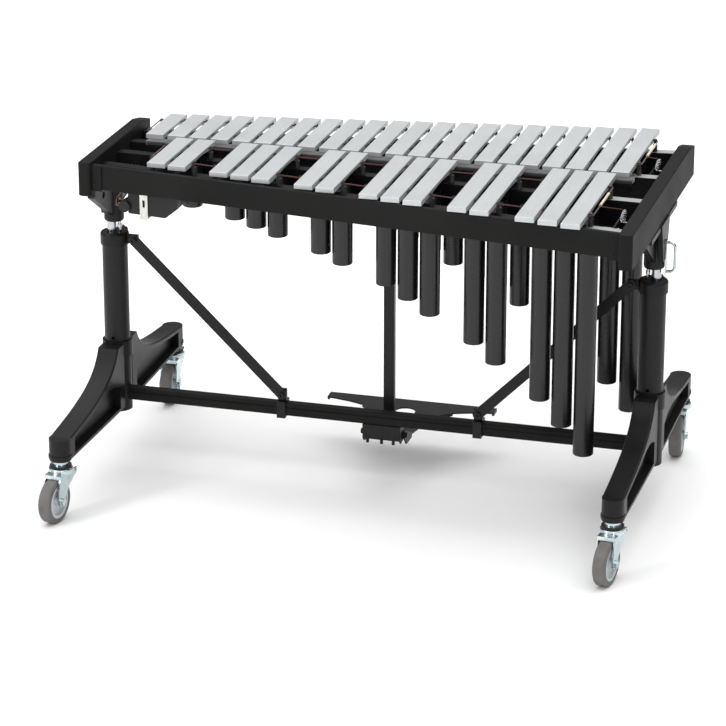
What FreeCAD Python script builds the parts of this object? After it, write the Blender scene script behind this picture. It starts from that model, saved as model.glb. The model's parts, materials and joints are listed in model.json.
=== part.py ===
import FreeCAD, Part
import math
import os

# A three-octave vibraphone on its wheeled stand. Millimetres, +Z up, floor at z = 0.
# +X runs along the keyboard towards the low notes, +Y runs from the audience to the player.

V = FreeCAD.Vector

# ---- driving dimensions -------------------------------------------------------------
MID_X, MID_Y = 14.75, -10.23

PITCH = 56.0                               # distance between neighbouring natural bars
NATURALS = 22
BAR_W, BAR_T, BAR_TOP = 45.0, 12.0, 840.0
NODE = 0.224                               # nodal point, as a share of the bar's length
NAT_FRONT, NAT_LEN, NAT_STEP = 72.0, 187.0, 9.37
ACC_BACK, ACC_LEN, ACC_STEP = 60.0, 205.4, 10.21
ARCH_SHARE, ARCH_DEPTH, BAR_CHAMFER = 0.26, 4.5, 1.0
CORD_R, CORD_HOLE_R = 1.6, 2.6
SPRING_R, SPRING_WIRE_R, SPRING_Z = 7.5, 1.3, 818.0

LOW_FREQUENCY = 174.6                      # lowest bar, Hz
SOUND_SPEED = 343000.0
TUBE_R, TUBE_WALL, TUBE_TOP = 25.0, 1.6, 812.0
TUBE_DATUM, TUBE_GAIN = 808.0, 1.32        # the tubes run past the quarter wavelength
SHAFT_Z, SHAFT_R, DISC_R, DISC_T = 770.0, 3.0, 21.5, 1.2
RUNNING_GAP = 0.05

BLOCK_TOP, BLOCK_BOTTOM = 834.0, 750.0
LEFT_OUT, LEFT_IN, LEFT_FRONT, LEFT_BACK = -696.0, -664.0, -189.0, 262.0
RIGHT_IN, RIGHT_OUT, RIGHT_FRONT, RIGHT_BACK = 677.0, 711.0, -386.0, 400.0
FASCIA_LEFT_Y, FASCIA_RIGHT_Y, FASCIA_T = -174.0, -353.0, 14.0
FASCIA_TOP, FASCIA_BOTTOM = 826.0, 765.0
RAIL_W, RAIL_TOP, RAIL_H = 28.0, 807.0, 24.0
DEEP_RAIL_H, DECK_Z, DECK_T = 65.0, 742.0, 2.0
POST_R, SHOE_TOP, ANCHOR_R = 3.2, 826.0, 4.0
GUARD_R = 3.2                              # sleeve over the cord where it crosses at the low notes

STAND_Y = 5.0
COLUMN_X = {"left": -676.0, "right": 690.0}
INBOARD = {"left": 1.0, "right": -1.0}     # which way the instrument's middle lies
SLEEVE_R, SLEEVE_WALL, SLEEVE_TOP, SLEEVE_BOTTOM = 32.0, 3.0, 590.0, 300.0
COLLAR_R, COLLAR_BOTTOM, COLLAR_TOP = 36.0, 570.0, 602.0
MAIN_POST_R, MAIN_POST_SHIFT = 12.0, -6.5
GUIDE_R, GUIDE_SHIFT, GUIDE_TOP = 4.0, 14.0, 690.0
POST_BOTTOM, POST_TOP = 400.0, 744.0
SOCKET_R, SOCKET_BOTTOM, PLATE_BOTTOM, CHEEK_SHIFT = 25.0, 630.0, 738.0, 26.0

CASTER_Y = 420.0                           # caster stem from the column's middle
ARM_W, ARM_BOTTOM, TIP_R, TIP_TOP = 54.0, 152.0, 27.0, 206.0
HUB_BOTTOM, CUP_TOP, CUP_R = 130.0, 316.0, 38.0
WHEEL_R, TREAD_IN_R, WHEEL_W, TRAIL = 55.0, 42.0, 32.0, 37.0
AXLE_R = 5.0
LEVER_Y, LEVER_Z = 32.0, 115.5             # brake lever's pivot, from the swivel axis
SWIVEL_ANGLE = {"front": -9.0, "rear": 4.0}

BEAM_Z, BEAM_H, BEAM_D = 174.0, 33.0, 29.0
CLAMP_X = {"left": -240.0, "right": 265.0}

HINGE_Y, HINGE_Z, HINGE_R = 20.0, 128.0, 4.0
PEDAL_X, PEDAL_TOP, PEDAL_T, PEDAL_RIM = 20.0, 112.0, 4.0, 9.0
ROD_Y, CLEVIS_Z = 66.0, 130.0
DAMPER_X, DAMPER_W, DAMPER_BOTTOM, DAMPER_TOP, FELT_TOP = (-604.0, 622.0), 36.0, 800.0, 818.0, 827.6

MOTOR_Y, MOTOR_Z = -120.0, 722.0
BELT_R, BELT_LIFT = 1.6, 0.25
PULLEY_R, MOTOR_PULLEY_R, PULLEY_W = 14.0, 9.0, 9.0
BELT_X = {"accidental": -592.0, "natural": -619.0}
BANK_X = {"natural": (-634.0, 624.0), "accidental": (-606.0, 624.0)}
BRACKET_REACH = 160.0                      # half length of the plate under an end block


# ---- small helpers --------------------------------------------------------------------
def block(x0, x1, y0, y1, z0, z1):
    return Part.makeBox(x1 - x0, y1 - y0, z1 - z0, V(x0, y0, z0))


def rod(start, end, radius):
    start, end = V(*start), V(*end)
    return Part.makeCylinder(radius, (end - start).Length, start, end - start)


def face_of(points):
    corners = [V(*p) for p in points]
    return Part.Face(Part.makePolygon(corners + corners[:1]))


def side_plate(points_yz, x0, x1):
    return face_of([(x0, y, z) for y, z in points_yz]).extrude(V(x1 - x0, 0, 0))


def plan_plate(points_xy, z0, z1):
    return face_of([(x, y, z0) for x, y in points_xy]).extrude(V(0, 0, z1 - z0))


def front_plate(points_xz, y0, y1):
    return face_of([(x, y0, z) for x, z in points_xz]).extrude(V(0, y1 - y0, 0))


def fused(shapes):
    whole = shapes[0]
    for shape in shapes[1:]:
        whole = whole.fuse(shape)
    return whole.removeSplitter()


def rounded(shape, radius, wanted):
    edges = [e for e in shape.Edges if wanted(e)]
    return shape.makeFillet(radius, edges)


def at_height(edge, z):
    return all(abs(v.Point.z - z) < 0.01 for v in edge.Vertexes)


def upright(edge):
    if len(edge.Vertexes) != 2:
        return False
    a, b = edge.Vertexes[0].Point, edge.Vertexes[1].Point
    return abs(a.x - b.x) < 0.01 and abs(a.y - b.y) < 0.01


def save(name, shapes):
    if not isinstance(shapes, list):
        shapes = [shapes]
    solids = [solid for shape in shapes for solid in shape.Solids]
    whole = solids[0] if len(solids) == 1 else Part.makeCompound(solids)
    whole = whole.copy()
    whole.translate(V(-MID_X, -MID_Y, 0))
    whole.exportStep("parts/%s.step" % name)
    box = whole.optimalBoundingBox(True, False)
    EXTENTS.append((box.XMin, box.XMax, box.YMin, box.YMax, box.ZMin, box.ZMax))
    valid = all(solid.isValid() for solid in solids)
    print("%-26s solids %3d valid %s" % (name, len(solids), valid))


EXTENTS = []


# ---- where the notes lie ----------------------------------------------------------------
def x_of(index):
    return PITCH * (index - (NATURALS - 1) / 2)


def index_at(x):
    return x / PITCH + (NATURALS - 1) / 2


def row_y(row, share, x):
    """Y of the point at this share of the bar's length, counted from the bar's front end."""
    if row == "natural":
        return NAT_FRONT + share * (NAT_LEN + NAT_STEP * index_at(x))
    return ACC_BACK - (1 - share) * (ACC_LEN + ACC_STEP * index_at(x))


def notes(row):
    """(index, semitones above the lowest bar) of each bar; index 0 is the highest natural."""
    natural_steps = [0, 2, 4, 6, 7, 9, 11]
    accidental_steps = {0: 1, 1: 3, 2: 5, 4: 8, 5: 10}
    found = []
    for place in range(NATURALS):
        octave, degree = divmod(place, 7)
        index = NATURALS - 1 - place
        if row == "natural":
            found.append((index, 12 * octave + natural_steps[degree]))
        elif degree in accidental_steps and index > 0:
            found.append((index - 0.5, 12 * octave + accidental_steps[degree]))
    return found


def row_direction(row, share):
    step = row_y(row, share, 100.0) - row_y(row, share, 0.0)
    return V(100.0, step, 0).normalize()


def strip_along(row, share, x0, x1, half, z0, z1, shift=0.0):
    """A straight strip that follows one line of the row, with its ends square to X."""
    corners = []
    for x, side in ((x0, -half), (x1, -half), (x1, half), (x0, half)):
        corners.append((x, row_y(row, share, x) + shift + side))
    return plan_plate(corners, z0, z1)


# ---- bars and what carries them ---------------------------------------------------------
def bar(row, index):
    x = x_of(index)
    front, back = row_y(row, 0, x), row_y(row, 1, x)
    middle, length = (front + back) / 2, back - front
    bottom = BAR_TOP - BAR_T
    reach = ARCH_SHARE * length
    x0 = x - BAR_W / 2
    a, b = V(x0, front, bottom), V(x0, front, BAR_TOP)
    c, d = V(x0, back, BAR_TOP), V(x0, back, bottom)
    e, f = V(x0, middle + reach, bottom), V(x0, middle - reach, bottom)
    crown = V(x0, middle, bottom + ARCH_DEPTH)
    edges = [Part.LineSegment(p, q).toShape() for p, q in ((a, b), (b, c), (c, d), (d, e))]
    edges.append(Part.Arc(e, crown, f).toShape())
    edges.append(Part.LineSegment(f, a).toShape())
    solid = Part.Face(Part.Wire(edges)).extrude(V(BAR_W, 0, 0))
    top_edges = [edge for edge in solid.Edges if at_height(edge, BAR_TOP)]
    solid = solid.makeChamfer(BAR_CHAMFER, top_edges)
    for share in (NODE, 1 - NODE):
        along = row_direction(row, share)
        start = V(x, row_y(row, share, x), BAR_TOP - BAR_T / 2) - along * BAR_W
        solid = solid.cut(Part.makeCylinder(CORD_HOLE_R, 2 * BAR_W, start, along))
    return solid


def bars(row):
    return [bar(row, index) for index, _ in notes(row)]


def belt_windows():
    """Room for the two drive belts, from in front of the motor to behind each fan pulley."""
    windows = []
    for row, x in BELT_X.items():
        half = PULLEY_W / 2 + 1.0
        back = row_y(row, 0.5, x) + PULLEY_R + 5.0
        windows.append(block(x - half, x + half, MOTOR_Y - 20.0, back, MOTOR_Z - 22.0, RAIL_TOP - RAIL_H))
    return windows[0].fuse(windows[1])


def bar_rail(row, share, height=RAIL_H):
    strip = strip_along(row, share, LEFT_IN, RIGHT_IN, RAIL_W / 2, RAIL_TOP - height, RAIL_TOP)
    groove = strip_along(row, share, LEFT_IN, RIGHT_IN, 4.0, RAIL_TOP - height, RAIL_TOP - 14.0)
    strip = strip.cut(groove).cut(belt_windows())
    for side in ("left", "right"):
        strip = strip.cut(column_rod(side, RAIL_TOP - height, BLOCK_BOTTOM, SOCKET_R))
    return strip


def end_gaps(row):
    """X of the outermost gaps of the row, where the cord turns."""
    indices = [index for index, _ in notes(row)]
    return x_of(max(indices) + 0.5), x_of(min(indices) - 0.5)


def anchor_points(row):
    """Centres of the four end posts that the cord turns round, going round the row."""
    turn = ANCHOR_R + CORD_R + 0.1
    low, high = end_gaps(row)
    corners = []
    for x, share in ((low, NODE), (high, NODE), (high, 1 - NODE), (low, 1 - NODE)):
        inward = turn if share == NODE else -turn
        corners.append((x, row_y(row, share, x) + inward))
    return corners, turn


def gap_post(row, share, gap, between_bars):
    """Slotted post that the cord lies in, on its shoe."""
    x = x_of(gap)
    y = row_y(row, share, x)
    cord_z = BAR_TOP - BAR_T / 2
    post = rod((x, y, RAIL_TOP), (x, y, BAR_TOP - 1.0), POST_R)
    shoe = rod((x, y, RAIL_TOP), (x, y, RAIL_TOP + 6.0), POST_R + 2.0)
    if not between_bars:
        shoe = rod((x, y, RAIL_TOP), (x, y, SHOE_TOP), POST_R + 3.0)
    slot = block(x - 8, x + 8, y - 2.3, y + 2.3, cord_z - CORD_R - 0.1, BAR_TOP)
    return fused([post, shoe]).cut(slot)


def bar_posts():
    cord_z = BAR_TOP - BAR_T / 2
    posts = []
    for row in ("natural", "accidental"):
        sides = [index + side for index, _ in notes(row) for side in (-0.5, 0.5)]
        inner_gaps = sorted(set(sides))[1:-1]
        for share in (NODE, 1 - NODE):
            for gap in inner_gaps:
                posts.append(gap_post(row, share, gap, sides.count(gap) == 2))
        corners, _ = anchor_points(row)
        for x, y in corners:
            stem = rod((x, y, RAIL_TOP), (x, y, cord_z + 5.0), ANCHOR_R)
            shoe = rod((x, y, RAIL_TOP), (x, y, SHOE_TOP), ANCHOR_R + 2.0)
            cap = rod((x, y, cord_z + 2.4), (x, y, cord_z + 5.0), ANCHOR_R + 1.0)
            posts.append(fused([stem, shoe, cap]))
    return posts


SPRING_SPAN = {"accidental": (-244.0, -150.0), "natural": (176.0, 271.0)}
GUARD_SPAN = {"accidental": (-183.0, -85.0), "natural": (237.0, 340.0)}
SPRING_X = (657.0, 648.0)                  # hooked end at the end block, free end


def spring_ends(row):
    near, far = SPRING_SPAN[row]
    return V(SPRING_X[0], near, SPRING_Z), V(SPRING_X[1], far, SPRING_Z)


def crossing(row, y):
    """Point of the cord's cross run at the low-note end."""
    corners, turn = anchor_points(row)
    return V(corners[0][0] + turn, y, BAR_TOP - BAR_T / 2)


def bar_cord(row):
    """One cord round the row, and the short strand that the spring pulls it with."""
    z = BAR_TOP - BAR_T / 2
    (a, b, c, d), turn = anchor_points(row)
    front = row_direction(row, NODE)
    rear = row_direction(row, 1 - NODE)
    front_out = V(front.y, -front.x, 0) * turn
    rear_out = V(-rear.y, rear.x, 0) * turn
    lean = math.sqrt(0.5) * turn
    low_front, high_front, high_rear, low_rear = [V(x, y, z) for x, y in (a, b, c, d)]
    middle = V(low_front.x + turn, (low_front.y + low_rear.y) / 2, z)
    low, high = V(turn, 0, 0), V(-turn, 0, 0)
    path = [
        Part.LineSegment(middle, low_front + low),
        Part.Arc(low_front + low, low_front + V(lean, -lean, 0), low_front + front_out),
        Part.LineSegment(low_front + front_out, high_front + front_out),
        Part.Arc(high_front + front_out, high_front + V(-lean, -lean, 0), high_front + high),
        Part.LineSegment(high_front + high, high_rear + high),
        Part.Arc(high_rear + high, high_rear + V(-lean, lean, 0), high_rear + rear_out),
        Part.LineSegment(high_rear + rear_out, low_rear + rear_out),
        Part.Arc(low_rear + rear_out, low_rear + V(lean, lean, 0), low_rear + low),
        Part.LineSegment(low_rear + low, middle),
    ]
    wire = Part.Wire([piece.toShape() for piece in path])
    profile = Part.Wire(Part.makeCircle(CORD_R, middle, V(0, -1, 0)))
    loop = wire.makePipeShell([profile], True, True)
    start = crossing(row, GUARD_SPAN[row][0] - 6.0)
    end = spring_ends(row)[1]
    strand = Part.makeCylinder(CORD_R - 0.4, (end - start).Length, start, end - start)
    outside = max(strand.cut(cord_spring(row)).Solids, key=lambda solid: solid.Volume)
    return loop.fuse(outside)


def cord_guard(row):
    """Pale sleeve over the cord's cross run."""
    near, far = GUARD_SPAN[row]
    start, end = crossing(row, near), crossing(row, far)
    sleeve = Part.makeCylinder(GUARD_R, far - near, start, end - start)
    return sleeve.cut(Part.makeCylinder(CORD_R, far - near, start, end - start))


def cord_spring(row):
    """The closed outer shape of the coil spring that tightens the row's cord, and its hook."""
    start, end = spring_ends(row)
    along = (end - start).normalize()
    cap = 3.0
    coil = Part.makeCylinder(SPRING_R, (end - start).Length, start, along)
    inside = (end - start).Length - 2 * cap
    coil = coil.cut(Part.makeCylinder(SPRING_R - 2 * SPRING_WIRE_R, inside, start + along * cap, along))
    hook = rod((start.x, start.y + 1.5, start.z), (RIGHT_IN, start.y + 1.5, start.z), SPRING_WIRE_R)
    return fused([coil, hook])


# ---- resonators ---------------------------------------------------------------------------
def tube_bottom(semitones):
    frequency = LOW_FREQUENCY * 2 ** (semitones / 12)
    return TUBE_DATUM - TUBE_GAIN * SOUND_SPEED / (4 * frequency)


def resonator(row, index, semitones):
    x = x_of(index)
    y = row_y(row, 0.5, x)
    bottom = tube_bottom(semitones)
    tube = rod((x, y, bottom), (x, y, TUBE_TOP), TUBE_R)
    tube = rounded(tube, 3.0, lambda e: at_height(e, bottom))
    tube = tube.cut(rod((x, y, bottom + 2.0), (x, y, TUBE_TOP), TUBE_R - TUBE_WALL))
    along = row_direction(row, 0.5)
    start = V(x, y, SHAFT_Z) - along * 2 * TUBE_R
    return tube.cut(Part.makeCylinder(SHAFT_R + 1.5, 4 * TUBE_R, start, along))


def resonators(row):
    return [resonator(row, index, semitones) for index, semitones in notes(row)]


def bank_deck(row):
    """Thin plate that closes the bank between its two rails, end block to end block."""
    inner = RAIL_W / 2
    deck = [(x, row_y(row, NODE, x) + inner) for x in (LEFT_IN, RIGHT_IN)]
    deck += [(x, row_y(row, 1 - NODE, x) - inner) for x in (RIGHT_IN, LEFT_IN)]
    plate = plan_plate(deck, DECK_Z, DECK_Z + DECK_T)
    for side in ("left", "right"):
        plate = plate.cut(column_rod(side, DECK_Z, DECK_Z + DECK_T, SOCKET_R))
    return plate


def bank_frame(row):
    """Two side strips that the tubes are riveted to, and two end plates with the shaft bearings."""
    z0, z1, strip_t, plate_t = 736.0, 758.0, 2.0, 4.0
    left, right = BANK_X[row]
    reach = TUBE_R + 0.1 + strip_t / 2
    inner = RAIL_W / 2
    rail_bottom = RAIL_TOP - RAIL_H
    pieces = [bank_deck(row)]
    for side in (-reach, reach):
        pieces.append(strip_along(row, 0.5, left, right + plate_t, strip_t / 2, z0, z1, shift=side))
    for x in (left, right):
        y = row_y(row, 0.5, x)
        pieces.append(block(x, x + plate_t, y - reach - 1.0, y + reach + 1.0, z0, rail_bottom))
        front, rear = row_y(row, NODE, x) + inner, row_y(row, 1 - NODE, x) - inner
        pieces.append(block(x, x + plate_t, front, rear, rail_bottom - 9.0, rail_bottom))
    frame = fused(pieces).cut(belt_windows())
    for index, _ in notes(row):
        x = x_of(index)
        y = row_y(row, 0.5, x)
        frame = frame.cut(rod((x, y, z0), (x, y, z1), TUBE_R + 0.05))
    along = row_direction(row, 0.5)
    start = V(left, row_y(row, 0.5, left), SHAFT_Z) - along * 40.0
    reach = right - left + 80.0
    return frame.cut(Part.makeCylinder(SHAFT_R + RUNNING_GAP, reach, start, along))


def shaft_ends(row):
    x0, x1 = BANK_X[row][0] - 2.0, BANK_X[row][1] + 10.0
    return V(x0, row_y(row, 0.5, x0), SHAFT_Z), V(x1, row_y(row, 0.5, x1), SHAFT_Z)


def fan_shaft(row):
    start, end = shaft_ends(row)
    pieces = [Part.makeCylinder(SHAFT_R, (end - start).Length, start, end - start)]
    along = row_direction(row, 0.5)
    across = V(-along.y, along.x, 0)
    for index, _ in notes(row):
        x = x_of(index)
        centre = V(x, row_y(row, 0.5, x), SHAFT_Z)
        pieces.append(Part.makeCylinder(DISC_R, DISC_T, centre - across * (DISC_T / 2), across))
    return fused(pieces)


def grooved_pulley(centre, along, radius, width, bore):
    start = centre - along * (width / 2)
    wheel = Part.makeCylinder(radius + BELT_R, width, start, along)
    groove = Part.makeTorus(radius + BELT_R, BELT_R + 1.4, centre, along)
    hole = Part.makeCylinder(bore, width, start, along)
    return wheel.cut(groove).cut(hole)


def fan_pulley(row):
    x = BELT_X[row]
    centre = V(x, row_y(row, 0.5, x), SHAFT_Z)
    return grooved_pulley(centre, row_direction(row, 0.5), PULLEY_R, PULLEY_W, SHAFT_R)


def motor_spindle():
    """Motor shaft with its two-groove pulley."""
    along = V(1, 0, 0)
    start = V(BELT_X["natural"] - 6.0, MOTOR_Y, MOTOR_Z)
    spindle = [Part.makeCylinder(SHAFT_R, 78.0, start, along)]
    for row in ("accidental", "natural"):
        centre = V(BELT_X[row], MOTOR_Y, MOTOR_Z)
        spindle.append(grooved_pulley(centre, along, MOTOR_PULLEY_R, PULLEY_W, SHAFT_R - 0.5))
    return fused(spindle)


def drive_belt(row):
    """A round belt in the YZ plane, from the motor's pulley to the fan shaft's."""
    x = BELT_X[row]
    small, large = MOTOR_PULLEY_R + BELT_R + BELT_LIFT, PULLEY_R + BELT_R + BELT_LIFT
    a = V(x, MOTOR_Y, MOTOR_Z)
    b = V(x, row_y(row, 0.5, x), SHAFT_Z)
    line = b - a
    heading = math.atan2(line.z, line.y)
    spread = math.acos((small - large) / line.Length)

    def on(centre, radius, angle):
        return centre + V(0, math.cos(angle), math.sin(angle)) * radius

    up, down = heading + spread, heading - spread
    path = [
        Part.LineSegment(on(a, small, up), on(b, large, up)),
        Part.Arc(on(b, large, up), on(b, large, heading), on(b, large, down)),
        Part.LineSegment(on(b, large, down), on(a, small, down)),
        Part.Arc(on(a, small, down), on(a, small, heading + math.pi), on(a, small, up)),
    ]
    wire = Part.Wire([piece.toShape() for piece in path])
    tangent = on(b, large, up) - on(a, small, up)
    profile = Part.Wire(Part.makeCircle(BELT_R - 0.1, on(a, small, up), tangent))
    return wire.makePipeShell([profile], True, True)


# ---- motor unit -----------------------------------------------------------------------------
CASE_FRONT, CASE_BACK, CASE_TOP = -168.0, -106.0, 764.0
DRUM_X, BOSS_X, BOSS_Z = -585.0, -583.0, 727.0
INLET = {"y": -131.0, "z": 745.0, "x0": -460.0, "x1": -448.0, "r": 6.0}


def motor_housing():
    """Control box with the motor's drum at its left end and a round boss facing the front."""
    outline = [(-575, CASE_TOP), (-575, 709), (-480, 704), (-448, 730), (-448, CASE_TOP)]
    case = front_plate(outline, CASE_FRONT, CASE_BACK)
    depth = CASE_BACK - CASE_FRONT
    case = rounded(case, 4.0, lambda e: abs(e.Length - depth) < 0.01 and not at_height(e, CASE_TOP))
    drum = rod((DRUM_X, MOTOR_Y, MOTOR_Z), (-560, MOTOR_Y, MOTOR_Z), 24.0)
    boss = rod((BOSS_X, -176, BOSS_Z), (BOSS_X, -138, BOSS_Z), 14.0)
    bearing = rod((DRUM_X - 2, MOTOR_Y, MOTOR_Z), (-543, MOTOR_Y, MOTOR_Z), SHAFT_R + RUNNING_GAP)
    whole = case.fuse(drum).fuse(boss).cut(bearing)
    return whole.cut(inlet_rod(INLET["x0"], INLET["x1"] + 1, INLET["r"]))


def inlet_rod(x0, x1, radius):
    return rod((x0, INLET["y"], INLET["z"]), (x1, INLET["y"], INLET["z"]), radius)


def power_inlet():
    """Low-voltage inlet ring in the motor housing's end, with its centre pin."""
    ring = inlet_rod(INLET["x0"], INLET["x1"] + 1, INLET["r"])
    ring = ring.cut(inlet_rod(INLET["x0"] + 3, INLET["x1"] + 1, INLET["r"] - 2.4))
    return fused([ring, inlet_rod(INLET["x0"] + 1.5, INLET["x1"] - 1, 1.0)])


def motor_bracket():
    """Bent steel strip that hangs the motor from the fascia's back."""
    upright_leg = block(-544, -524, -171.5, -168.5, 699, 790)
    foot = block(-544, -524, -171.5, -120, 697, 700)
    slot = block(-537, -531, -173, -167, 728, 746)
    return fused([upright_leg, foot]).cut(slot)


# ---- end blocks, fascia ---------------------------------------------------------------------
def end_block(x0, x1, front, back):
    """Plank with rounded vertical corners and a top that slopes down at its rear end."""
    corner, depth = 62.0, 12.0
    profile = [(front, BLOCK_BOTTOM), (back, BLOCK_BOTTOM), (back, BLOCK_TOP - depth)]
    profile += [(back - corner, BLOCK_TOP), (front, BLOCK_TOP)]
    plate = side_plate(profile, x0, x1)
    plan = rounded(block(x0, x1, front, back, BLOCK_BOTTOM, BLOCK_TOP), 9.0, upright)
    plate = plate.common(plan)
    lid = [e for e in plate.Edges if at_height(e, BLOCK_TOP) and abs(e.CenterOfMass.y - back) > corner + 1]
    return plate.makeChamfer(2.0, lid)


PAD_W, PAD_T = 26.0, 3.0                   # corner plates that join the fascia to the blocks


def fascia():
    slope = (FASCIA_RIGHT_Y - FASCIA_LEFT_Y) / (RIGHT_IN - LEFT_IN)

    def y_at(x):
        return FASCIA_LEFT_Y + slope * (x - LEFT_IN)

    corners = [(LEFT_IN, y_at(LEFT_IN)), (RIGHT_IN, y_at(RIGHT_IN))]
    corners += [(x, y + FASCIA_T) for x, y in reversed(corners)]
    board = plan_plate(corners, FASCIA_BOTTOM, FASCIA_TOP)
    board = rounded(board, 2.0, lambda e: e.Length > 500)
    pads = []
    for x0, x1 in ((LEFT_IN, LEFT_IN + PAD_W), (RIGHT_IN - PAD_W, RIGHT_IN)):
        outline = [(x, y_at(x) - PAD_T) for x in (x0, x1)] + [(x, y_at(x) + 2) for x in (x1, x0)]
        pads.append(plan_plate(outline, FASCIA_BOTTOM - 3, FASCIA_TOP - 2))
    return fused([board] + pads)


# ---- stand ----------------------------------------------------------------------------------
def column_place(side, shift=0.0):
    return COLUMN_X[side] + INBOARD[side] * shift


def smooth_edge(points):
    """One smooth edge through points in a YZ plane."""
    curve = Part.BSplineCurve()
    curve.interpolate([V(*p) for p in points])
    return curve.toShape()


def straight_edges(points):
    corners = [V(*p) for p in points]
    return [Part.LineSegment(a, b).toShape() for a, b in zip(corners, corners[1:])]


def arm_profile(x, way, top, under):
    """Edges of a closed YZ outline: a smooth top line and straight sides under it."""
    over = [(x, STAND_Y + way * y, z) for y, z in top]
    below = [(x, STAND_Y + way * y, z) for y, z in [top[-1]] + under + [top[0]]]
    return Part.Face(Part.Wire([smooth_edge(over)] + straight_edges(below)))


ARM_TOP = [(420, 206), (320, 216), (220, 231), (150, 250), (105, 274), (72, 312)]
POCKET_TOP = [(390, 199), (310, 207), (215, 219), (130, 226), (62, 208)]
POCKET_UNDER = [(62, 152), (390, 158)]
WEB_HALF = 7.0                             # half thickness of the arm between its two pockets


def beam_block(x0, x1):
    y0, y1 = STAND_Y - BEAM_D / 2, STAND_Y + BEAM_D / 2
    return block(x0, x1, y0, y1, BEAM_Z - BEAM_H / 2, BEAM_Z + BEAM_H / 2)


def column_rod(side, z0, z1, radius, shift=0.0):
    """Upright cylinder on the column's axis, or shifted inboard from it."""
    x = column_place(side, shift)
    return rod((x, STAND_Y, z0), (x, STAND_Y, z1), radius)


def leg_casting(side):
    """Cast foot: two arms, the caster sockets at their tips, and the cup for the sleeve."""
    x, half = COLUMN_X[side], ARM_W / 2
    arms = []
    for way in (-1, 1):
        under = [(30, 312), (30, ARM_BOTTOM - 8), (60, ARM_BOTTOM - 8), (420, ARM_BOTTOM)]
        arm = arm_profile(x - half, way, ARM_TOP, under).extrude(V(ARM_W, 0, 0))
        rims = [e for e in arm.Edges if len(e.Vertexes) == 2 and e.Length > 200]
        rims = [e for e in rims if min(v.Point.z for v in e.Vertexes) > ARM_BOTTOM + 20]
        arm = arm.makeFillet(4.0, rims)
        for x0, x1 in ((x - half - 1, x - WEB_HALF), (x + WEB_HALF, x + half + 1)):
            pocket = arm_profile(x0, way, POCKET_TOP, POCKET_UNDER).extrude(V(x1 - x0, 0, 0))
            arm = arm.cut(pocket)
        arms.append(arm)
    body = fused(arms)
    pieces = [body]
    for way in (-1, 1):
        y = STAND_Y + way * CASTER_Y
        pieces.append(rod((x, y, ARM_BOTTOM - 2), (x, y, TIP_TOP), TIP_R))
        pieces.append(rod((x, y, ARM_BOTTOM + 4), (x, y, ARM_BOTTOM + 12), TIP_R + 2.0))
    pieces.append(rod((x, STAND_Y, HUB_BOTTOM), (x, STAND_Y, CUP_TOP), 34.0))
    pieces.append(rod((x, STAND_Y, CUP_TOP - 40), (x, STAND_Y, CUP_TOP), CUP_R))
    whole = fused(pieces)
    whole = whole.cut(rod((x, STAND_Y, SLEEVE_BOTTOM), (x, STAND_Y, CUP_TOP), SLEEVE_R))
    for way in (-1, 1):
        y = STAND_Y + way * CASTER_Y
        whole = whole.cut(rod((x, y, ARM_BOTTOM - 3), (x, y, ARM_BOTTOM + 38), 6.0))
    x0, x1 = sorted((column_place(side, 24.0), column_place(side, 84.0)))
    return whole.cut(beam_block(x0, x1))


def outer_sleeve(side):
    """Tube round the posts, with a small round hole low in its front."""
    sleeve = column_rod(side, SLEEVE_BOTTOM, SLEEVE_TOP, SLEEVE_R)
    sleeve = sleeve.cut(column_rod(side, SLEEVE_BOTTOM, SLEEVE_TOP, SLEEVE_R - SLEEVE_WALL))
    x, y, z = COLUMN_X[side], STAND_Y - SLEEVE_R, CUP_TOP + 11.0
    return sleeve.cut(rod((x, y - 1.0, z), (x, y + 8.0, z), 4.0))


def sleeve_collar(side):
    """Cap on the sleeve: guides the post and the guide rod, and carries the brace's tab."""
    x = COLUMN_X[side]
    cap = column_rod(side, COLLAR_BOTTOM, COLLAR_TOP, COLLAR_R)
    cap = rounded(cap, 7.0, lambda e: at_height(e, COLLAR_TOP))
    reach = sorted((column_place(side, 26), column_place(side, 62)))
    tab = block(reach[0], reach[1], STAND_Y - 6, STAND_Y + 6, 573, 595)
    boss = rod((x, STAND_Y + 30, 584), (x, STAND_Y + 41, 584), 8.0)
    whole = fused([cap, tab, boss])
    whole = whole.cut(column_rod(side, COLLAR_BOTTOM, SLEEVE_TOP, SLEEVE_R))
    for shift, radius in ((MAIN_POST_SHIFT, MAIN_POST_R), (GUIDE_SHIFT, GUIDE_R)):
        whole = whole.cut(column_rod(side, SLEEVE_TOP - 1, COLLAR_TOP + 1, radius + RUNNING_GAP, shift))
    tab_hole = column_place(side, 54)
    whole = whole.cut(rod((tab_hole, STAND_Y - 8, 584), (tab_hole, STAND_Y + 8, 584), 4.0))
    return whole.cut(rod((x, STAND_Y + 33, 584), (x, STAND_Y + 42, 584), 4.0 + RUNNING_GAP))


def inner_post(side):
    post = column_rod(side, POST_BOTTOM, POST_TOP, MAIN_POST_R, MAIN_POST_SHIFT)
    return post.cut(column_rod(side, POST_BOTTOM, POST_TOP, MAIN_POST_R - 2.5, MAIN_POST_SHIFT))


def guide_rod(side):
    stem = column_rod(side, POST_BOTTOM, GUIDE_TOP, GUIDE_R, GUIDE_SHIFT)
    return fused([stem, column_rod(side, 614.0, 621.0, 6.0, GUIDE_SHIFT)])


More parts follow.
